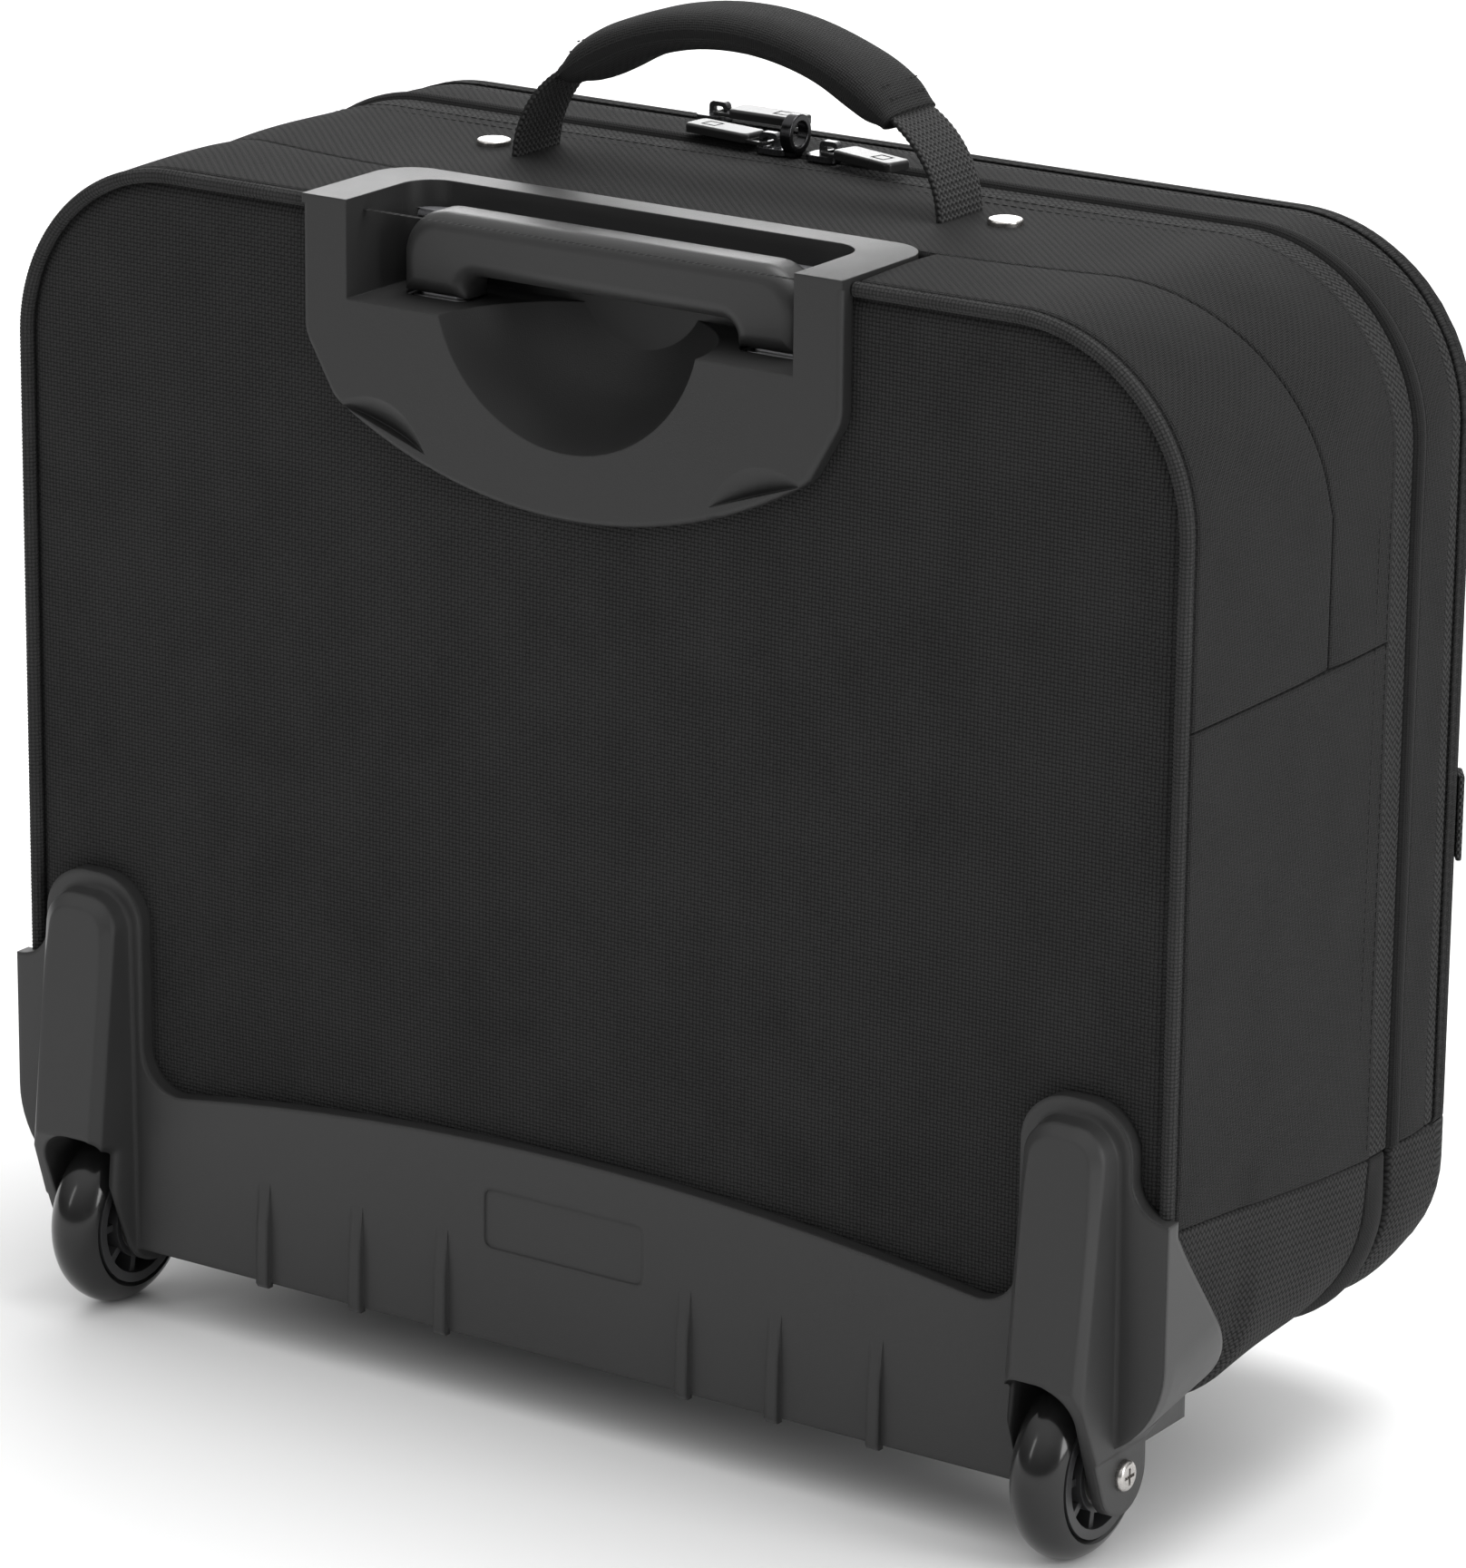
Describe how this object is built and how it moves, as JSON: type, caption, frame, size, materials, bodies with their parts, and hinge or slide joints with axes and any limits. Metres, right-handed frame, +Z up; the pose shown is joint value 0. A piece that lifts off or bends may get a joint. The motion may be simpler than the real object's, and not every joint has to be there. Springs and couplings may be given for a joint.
{
  "type": "rolling laptop case",
  "caption": "Soft rolling laptop case with a telescopic trolley handle, moulded wheel base, padded carry handle, zipped main compartment and front organiser.",
  "frame": {"origin": "centre of the case's footprint, on the floor", "axes": "+Z up, +Y to the rear where the trolley handle and wheels are, +X to the left of someone walking behind it"},
  "size_m": [0.4414, 0.215, 0.4455],
  "materials": {
    "back_fabric": "dense dark polyester weave",
    "gusset_fabric": "twill polyester weave",
    "coarse_fabric": "coarse ballistic weave",
    "piping": "ribbed binding over a cord",
    "zip_tape": "woven zipper tape with a coil",
    "webbing": "ribbed polyester webbing",
    "pad_fabric": "fabric over foam, stitched",
    "lining": "thin grey lining cloth",
    "board": "polyethylene board",
    "moulding": "fine grained black ABS",
    "grip": "satin black ABS",
    "tube": "anodised aluminium",
    "guide": "black acetal",
    "tyre": "glossy dark polyurethane",
    "hub": "black nylon",
    "steel": "zinc plated steel",
    "nickel": "polished nickel",
    "slider": "black nickel plated zinc",
    "puller": "black moulded rubber",
    "foot_rubber": "black rubber"
  },
  "bodies": {
    "case": {"back_panel": "back_fabric", "back_piping": "piping", "gusset": "gusset_fabric", "bottom_panel": "coarse_fabric", "main_zip_case": "zip_tape", "opening_frame": "board", "back_board": "board", "lining": "lining", "bottom_board": "board", "laptop_sleeve": "pad_fabric", "sleeve_strap": "webbing", "handle_housing": "moulding", "outer_tube_left": "tube", "outer_tube_right": "tube", "outer_guides": "guide", "tube_bracket": "moulding", "kick_plate": "moulding", "case_screws": "steel", "axle_sleeves": "steel", "axle_screws": "nickel", "front_feet": "foot_rubber", "handle_anchors": "webbing", "handle_rivets": "nickel"},
    "trolley_middle": {"middle_tube_left": "tube", "middle_tube_right": "tube", "middle_guides": "guide", "middle_feet": "guide"},
    "trolley_inner": {"inner_tube_left": "tube", "inner_tube_right": "tube", "inner_feet": "guide", "trolley_grip": "grip"},
    "button": {"release_button": "grip"},
    "rods": {"release_rods": "steel"},
    "wheel_left": {"tyre_left": "tyre", "hub_left": "hub", "bearings_left": "steel", "bearing_spacer_left": "steel"},
    "wheel_right": {"tyre_right": "tyre", "hub_right": "hub", "bearings_right": "steel", "bearing_spacer_right": "steel"},
    "carry_handle": {"carry_webbing": "webbing", "carry_grip": "pad_fabric"},
    "slider_left": {"main_slider_left": "slider", "lock_ring": "slider"},
    "slider_right": {"main_slider_right": "slider"},
    "puller_left": {"main_puller_left": "puller"},
    "puller_right": {"main_puller_right": "puller"},
    "organiser": {"organiser_back": "lining", "organiser_gusset": "gusset_fabric", "organiser_tray": "coarse_fabric", "main_zip_front": "zip_tape", "flap_zip_section": "zip_tape", "organiser_pockets": "lining"},
    "flap": {"flap_panel": "gusset_fabric", "flap_zip_flap": "zip_tape", "front_badge": "slider", "side_tab": "webbing"},
    "flap_slider": {"flap_slider": "slider"},
    "flap_puller": {"flap_puller": "puller"}
  },
  "joints": [
    {"name": "trolley_middle_slide", "type": "slide", "parent": "case", "child": "trolley_middle", "axis": [0, 0, 1], "range_m": [0, 0.255]},
    {"name": "trolley_grip_slide", "type": "slide", "parent": "trolley_middle", "child": "trolley_inner", "axis": [0, 0, 1], "range_m": [0, 0.245]},
    {"name": "button_press", "type": "slide", "parent": "trolley_inner", "child": "button", "axis": [0, 0, 1], "range_m": [0, 0.003], "stiffness_N_per_m": 800, "springref_m": -0.001},
    {"name": "rods_push", "type": "slide", "parent": "trolley_inner", "child": "rods", "axis": [0, 0, 1], "range_m": [-0.003, 0]},
    {"name": "wheel_left_spin", "type": "hinge", "parent": "case", "child": "wheel_left", "pos_m": [0.186, 0.0775, 0.03], "axis": [1, 0, 0], "continuous": true},
    {"name": "wheel_right_spin", "type": "hinge", "parent": "case", "child": "wheel_right", "pos_m": [-0.186, 0.0775, 0.03], "axis": [1, 0, 0], "continuous": true},
    {"name": "carry_handle_tilt", "type": "hinge", "parent": "case", "child": "carry_handle", "pos_m": [0, -0.0115, 0.401], "axis": [1, 0, 0], "range_deg": [-55, 62], "stiffness_Nm_per_rad": 0.6},
    {"name": "slider_left_run", "type": "slide", "parent": "case", "child": "slider_left", "axis": [1, 0, 0], "range_m": [0, 0.13]},
    {"name": "slider_right_run", "type": "slide", "parent": "case", "child": "slider_right", "axis": [-1, 0, 0], "range_m": [0, 0.13]},
    {"name": "puller_left_lift", "type": "hinge", "parent": "slider_left", "child": "puller_left", "pos_m": [0.0185, -0.0545, 0.3914], "axis": [-0.1392, -0.9903, 0], "range_deg": [0, 80]},
    {"name": "puller_right_lift", "type": "hinge", "parent": "slider_right", "child": "puller_right", "pos_m": [-0.0045, -0.0545, 0.3914], "axis": [0.2756, 0.9613, 0], "range_deg": [0, 80]},
    {"name": "organiser_open", "type": "hinge", "parent": "case", "child": "organiser", "pos_m": [0, -0.0545, 0.0385], "axis": [1, 0, 0], "range_deg": [0, 40]},
    {"name": "flap_open", "type": "hinge", "parent": "organiser", "child": "flap", "pos_m": [0, -0.106, 0.099], "axis": [1, 0, 0], "range_deg": [0, 45]},
    {"name": "flap_slider_run", "type": "slide", "parent": "organiser", "child": "flap_slider", "axis": [1, 0, 0], "range_m": [-0.18, 0.08]},
    {"name": "flap_puller_lift", "type": "hinge", "parent": "flap_slider", "child": "flap_puller", "pos_m": [0.058, -0.0845, 0.3914], "axis": [0, 1, 0], "range_deg": [0, 80]}
  ],
  "couplings": [
    {"joint": "rods_push", "follows": "button_press", "ratio": -1}
  ]
}
